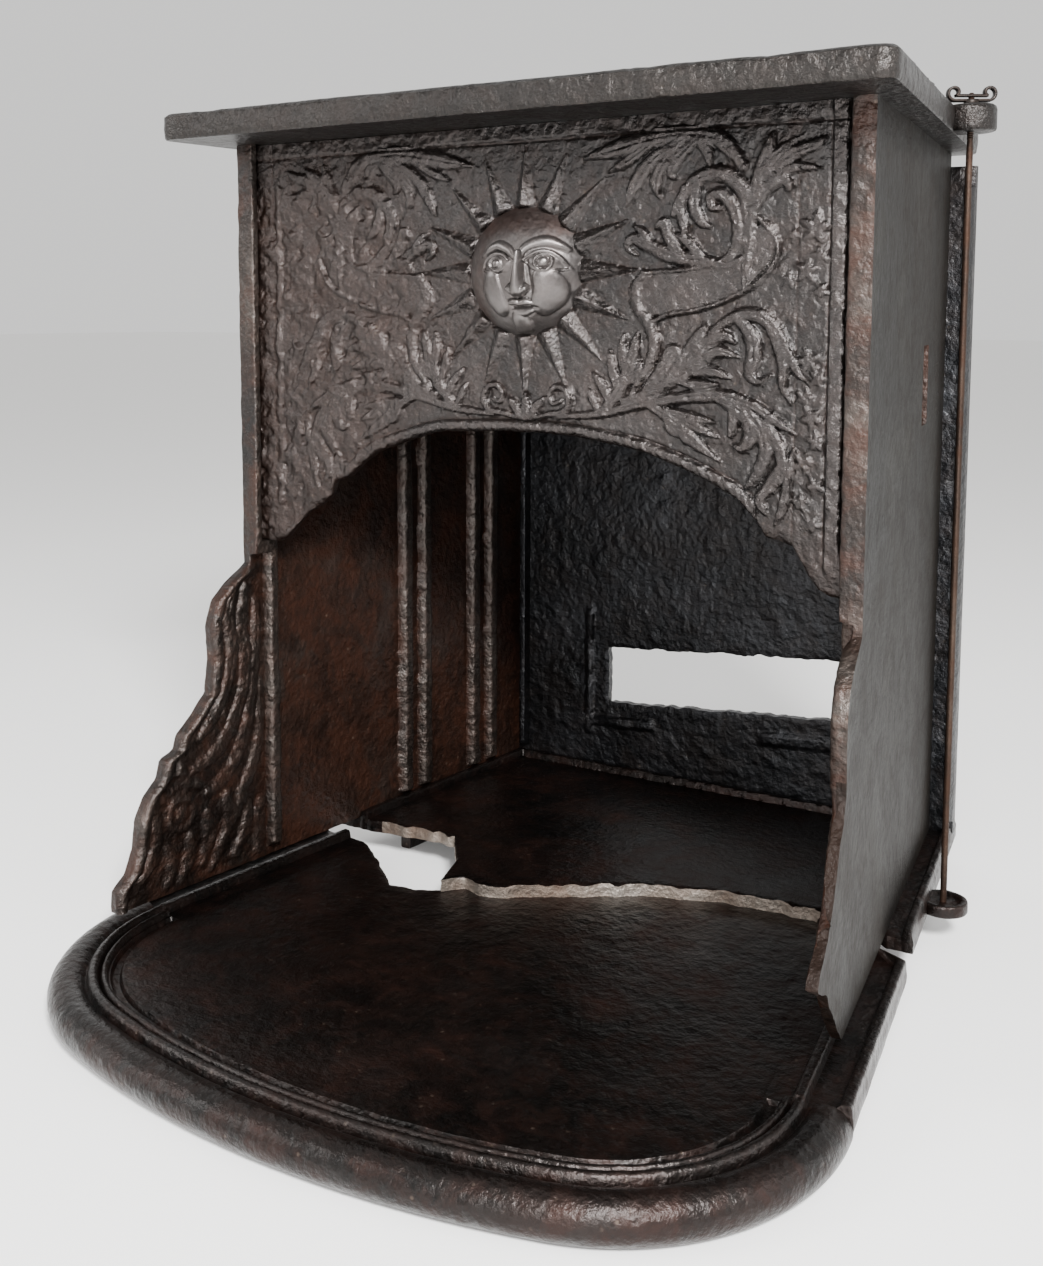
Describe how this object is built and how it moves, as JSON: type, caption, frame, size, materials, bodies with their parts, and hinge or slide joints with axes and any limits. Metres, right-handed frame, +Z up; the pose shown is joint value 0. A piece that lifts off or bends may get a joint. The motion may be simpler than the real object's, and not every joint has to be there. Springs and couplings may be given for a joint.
{
  "type": "cast-iron fireplace stove",
  "caption": "Open-fronted cast-iron plate stove with an arched front plate, curled side wings, a broken hearth and screw rods.",
  "frame": {"origin": "on the floor, under the middle of the stove's overall box", "axes": "+Z up; the open front faces -Y; +X is to the right of a person who faces the fire"},
  "size_m": [0.6888, 0.8212, 0.781],
  "materials": {
    "hearth_iron": "waxed cast iron, near black with brown rust",
    "side_iron": "cast iron, brown rust inside and dull grey outside",
    "back_iron": "cast iron, blue-grey with a fine orange-peel grain",
    "front_iron": "waxed cast iron, corroded on the left half",
    "top_iron": "cast iron with a pebbly sand-cast skin",
    "rod_iron": "rusted wrought iron",
    "nut_iron": "dark forged iron"
  },
  "bodies": {
    "stove": {"hearth_front": "hearth_iron", "hearth_rear": "hearth_iron", "left_side_plate": "side_iron", "right_side_plate": "side_iron", "back_plate": "back_iron", "front_plate": "front_iron", "top_plate": "top_iron", "left_screw_rod": "rod_iron", "right_screw_rod": "rod_iron"},
    "left_nut": {"left_scroll_nut": "nut_iron"},
    "right_nut": {"right_scroll_nut": "nut_iron"}
  },
  "joints": [
    {"name": "left_nut_turn", "type": "hinge", "parent": "stove", "child": "left_nut", "pos_m": [-0.30977, 0.20513, 0.766], "axis": [0, 0, 1], "continuous": true},
    {"name": "right_nut_turn", "type": "hinge", "parent": "stove", "child": "right_nut", "pos_m": [0.30977, 0.20513, 0.766], "axis": [0, 0, 1], "continuous": true}
  ]
}
